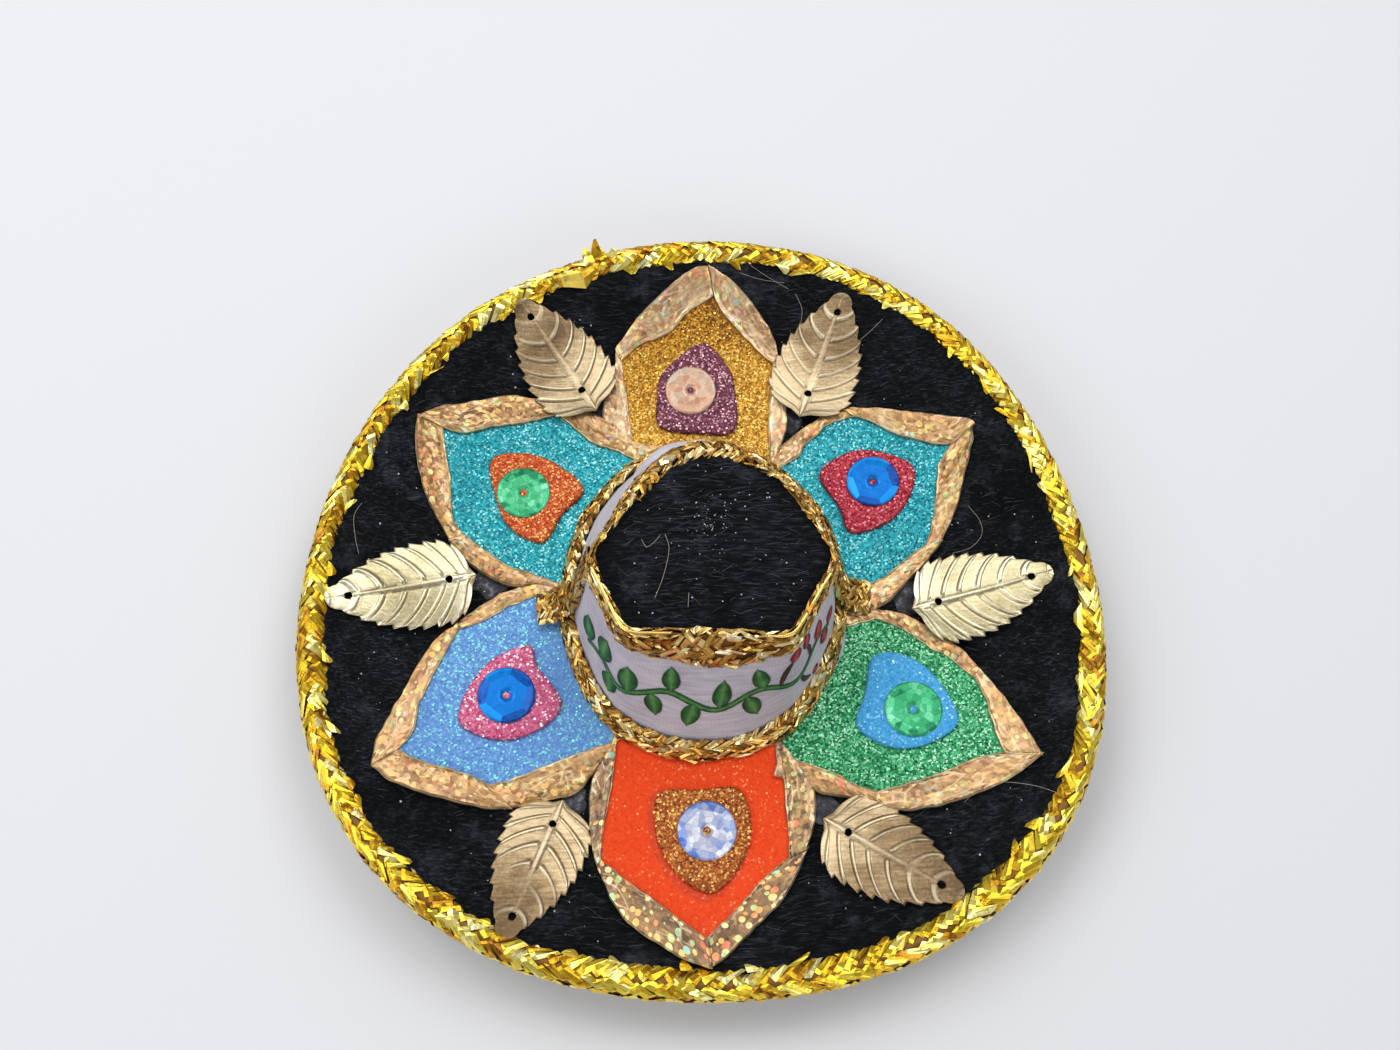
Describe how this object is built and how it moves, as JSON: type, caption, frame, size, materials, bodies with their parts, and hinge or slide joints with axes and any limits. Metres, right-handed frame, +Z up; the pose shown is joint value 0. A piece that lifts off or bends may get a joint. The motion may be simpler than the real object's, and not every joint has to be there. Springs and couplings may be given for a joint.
{
  "type": "miniature sombrero",
  "caption": "Miniature sombrero ornament: a dished black velvet brim bound in gold braid, a banded crown open below, and a ring of glitter petals, sequins and stamped leaves.",
  "frame": {"origin": "middle of the head opening, on the plane that the brim rests on", "axes": "+Z up through the crown, +Y towards the back, +X to the right as seen from the front"},
  "size_m": [0.1425, 0.1423, 0.031],
  "materials": {
    "lining_cloth": "plain black cloth",
    "card": "grey-brown card",
    "black_velvet": "black velvet, short pile",
    "white_cloth": "thin white cloth",
    "rim_braid_gold": "bright gold foil braid",
    "crown_braid_gold": "antique gold foil braid",
    "ribbon_gold": "gold ribbon with rainbow dots",
    "leaf_foil": "pale satin gold foil",
    "gold_glitter": "glitter foam",
    "teal_glitter": "glitter foam",
    "green_glitter": "glitter foam",
    "orange_glitter": "glitter foam, fine",
    "blue_glitter": "glitter foam",
    "mauve_glitter": "glitter foam",
    "red_glitter": "glitter foam",
    "sky_glitter": "glitter foam",
    "copper_glitter": "glitter foam on a clear film",
    "pink_glitter": "glitter foam",
    "rust_glitter": "glitter foam",
    "peach_sequin": "cracked-ice foil",
    "blue_sequin": "metallic foil",
    "green_sequin": "cracked-ice foil",
    "silver_sequin": "rainbow foil"
  },
  "bodies": {
    "root": {"brim_lining": "lining_cloth", "brim_board": "card", "brim_velvet": "black_velvet", "rim_braid": "rim_braid_gold", "crown_wall": "card", "crown_top_board": "card", "crown_top_velvet": "black_velvet", "crown_band_front": "white_cloth", "crown_band_back": "white_cloth", "crown_base_braid": "crown_braid_gold", "crown_top_braid": "crown_braid_gold", "crown_strap_left": "crown_braid_gold", "crown_strap_right": "crown_braid_gold", "petal_12": "gold_glitter", "petal_2": "teal_glitter", "petal_4": "green_glitter", "petal_6": "orange_glitter", "petal_8": "blue_glitter", "petal_10": "teal_glitter", "petal_ribbon_12": "ribbon_gold", "petal_ribbon_2": "ribbon_gold", "petal_ribbon_4": "ribbon_gold", "petal_ribbon_6": "ribbon_gold", "petal_ribbon_8": "ribbon_gold", "petal_ribbon_10": "ribbon_gold", "patch_12": "mauve_glitter", "patch_2": "red_glitter", "patch_4": "sky_glitter", "patch_6": "copper_glitter", "patch_8": "pink_glitter", "patch_10": "rust_glitter", "sequin_12": "peach_sequin", "sequin_2": "blue_sequin", "sequin_4": "green_sequin", "sequin_6": "silver_sequin", "sequin_8": "blue_sequin", "sequin_10": "green_sequin", "leaf_1": "leaf_foil", "leaf_3": "leaf_foil", "leaf_5": "leaf_foil", "leaf_7": "leaf_foil", "leaf_9": "leaf_foil", "leaf_11": "leaf_foil"}
  },
  "joints": []
}
